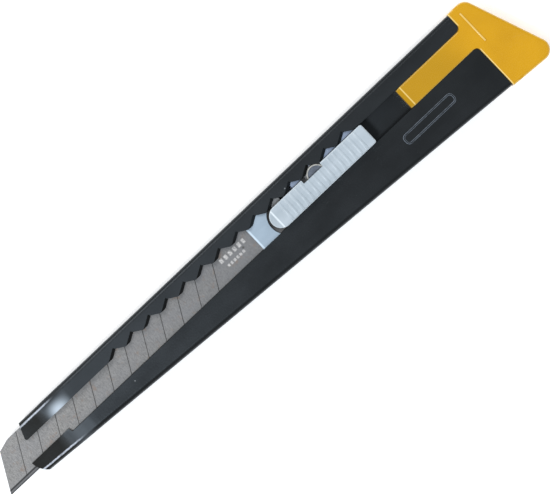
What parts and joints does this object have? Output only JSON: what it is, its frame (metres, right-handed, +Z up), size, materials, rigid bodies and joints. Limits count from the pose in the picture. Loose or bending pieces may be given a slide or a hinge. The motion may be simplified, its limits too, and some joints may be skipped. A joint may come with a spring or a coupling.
{
  "type": "snap-off knife",
  "caption": "Slim snap-off knife: folded black metal sheath with a notched slot, scored blade, ribbed locking slider, and a plug-in end cap with a pocket clip.",
  "frame": {"origin": "bottom centre of the whole knife's bounding box at rest, on the plane that the clip's flat lies in", "axes": "+X from the blade's tip to the end cap, +Y across the knife towards the blade's back, +Z up out of the slotted face"},
  "size_m": [0.145, 0.0208, 0.0094],
  "materials": {
    "black_paint": "satin black baked paint",
    "blade_steel": "fine ground",
    "slider_plastic": "pale blue-white moulded",
    "plate_steel": "pressed, bright rim",
    "spring_steel": "tempered",
    "yellow_plastic": "satin moulded"
  },
  "bodies": {
    "sheath_body": {"sheath": "black_paint"},
    "carrier": {"blade_holder": "slider_plastic", "snap_off_blade": "blade_steel", "leaf_spring": "spring_steel"},
    "button": {"thumb_button": "slider_plastic", "keeper_plate": "plate_steel", "keeper_rivets": "plate_steel", "lock_stud": "plate_steel"},
    "cap": {"end_cap": "yellow_plastic"}
  },
  "joints": [
    {"name": "slider_travel", "type": "slide", "parent": "sheath_body", "child": "carrier", "axis": [-1, 0, 0], "range_m": [-0.01, 0.05]},
    {"name": "button_press", "type": "slide", "parent": "carrier", "child": "button", "axis": [0, 0, -1], "range_m": [0, 0.0009], "stiffness_N_per_m": 1500, "springref_m": -0.001, "deforming": ["leaf_spring"]},
    {"name": "end_cap_pull", "type": "slide", "parent": "sheath_body", "child": "cap", "axis": [1, 0, 0], "range_m": [0, 0.045]}
  ]
}
